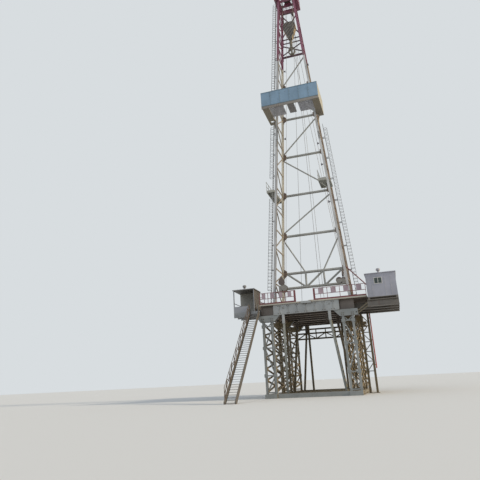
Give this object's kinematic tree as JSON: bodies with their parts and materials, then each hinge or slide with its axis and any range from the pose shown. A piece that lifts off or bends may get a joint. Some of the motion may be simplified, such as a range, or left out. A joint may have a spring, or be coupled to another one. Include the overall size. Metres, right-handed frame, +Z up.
{
  "type": "land drilling rig, scale model at 1:10",
  "caption": "Land drilling rig: a tapering lattice mast open at the front, on a raised floor with racking board, crown, travelling block, hook, shelter, cabin and stair.",
  "frame": {"origin": "centre of the footprint on the ground, under the middle of the whole rig", "axes": "+Z up the mast; +X to the rig's right, seen from its open front; +Y to the rear, where the drawworks stands"},
  "size_m": [1.656, 2.25, 5.61],
  "materials": {
    "block_paint": "yellow and black paint",
    "blue_sheet": "dull blue painted sheet",
    "dark_steel": "greasy dark steel",
    "floor_plate": "dark worn plate",
    "grey_paint": "worn matt paint",
    "mast_paint": "off-white paint with rust stains",
    "red_paint": "dark red paint",
    "window_glass": "dark window glass"
  },
  "bodies": {
    "rig": {"base_beams": "grey_paint", "base_spreaders": "grey_paint", "leg_frames": "grey_paint", "inner_legs": "grey_paint", "side_braces": "grey_paint", "rear_cross_truss": "grey_paint", "side_girders": "grey_paint", "front_beam": "grey_paint", "floor_beams": "grey_paint", "drill_floor": "floor_plate", "rotary_table": "floor_plate", "drawworks_frame": "grey_paint", "drawworks_drum": "red_paint", "mast_shoes": "grey_paint", "mast_left_lower": "mast_paint", "mast_left_middle": "mast_paint", "mast_left_top": "red_paint", "mast_right_lower": "mast_paint", "mast_right_middle": "mast_paint", "mast_right_top": "red_paint", "mast_base_truss": "mast_paint", "mast_rear_tubes": "mast_paint", "mast_rear_diagonals": "mast_paint", "mast_top_bracing": "red_paint", "crown_frame": "red_paint", "crown_sheaves": "dark_steel", "crown_railing": "red_paint", "block_lines": "dark_steel", "hoist_lines": "dark_steel", "board_frame": "grey_paint", "board_fingers": "grey_paint", "diving_board": "floor_plate", "windwalls": "blue_sheet", "ladder_left": "mast_paint", "ladder_right": "mast_paint", "rest_platforms": "grey_paint", "floor_railings": "red_paint", "floor_winches": "grey_paint", "mast_brace": "red_paint", "house_floor": "grey_paint", "house_walls": "grey_paint", "house_roof": "blue_sheet", "cabin_skid": "grey_paint", "cabin_supports": "grey_paint", "cabin_walls": "grey_paint", "cabin_roof": "blue_sheet", "cabin_window": "window_glass", "drain_pipe": "red_paint", "stair_flight": "grey_paint", "stair_handrail": "grey_paint"},
    "block": {"travelling_block": "block_paint", "block_sheaves": "dark_steel"},
    "hook": {"hook": "dark_steel"}
  },
  "joints": [
    {"name": "block_hoist", "type": "slide", "parent": "rig", "child": "block", "axis": [0, 0, 1], "range_m": [-3.4, 0.2], "deforming": ["block_lines"]},
    {"name": "hook_swivel", "type": "hinge", "parent": "block", "child": "hook", "pos_m": [-0.075, 0.565, 4.75], "axis": [0, 0, 1], "continuous": true}
  ]
}
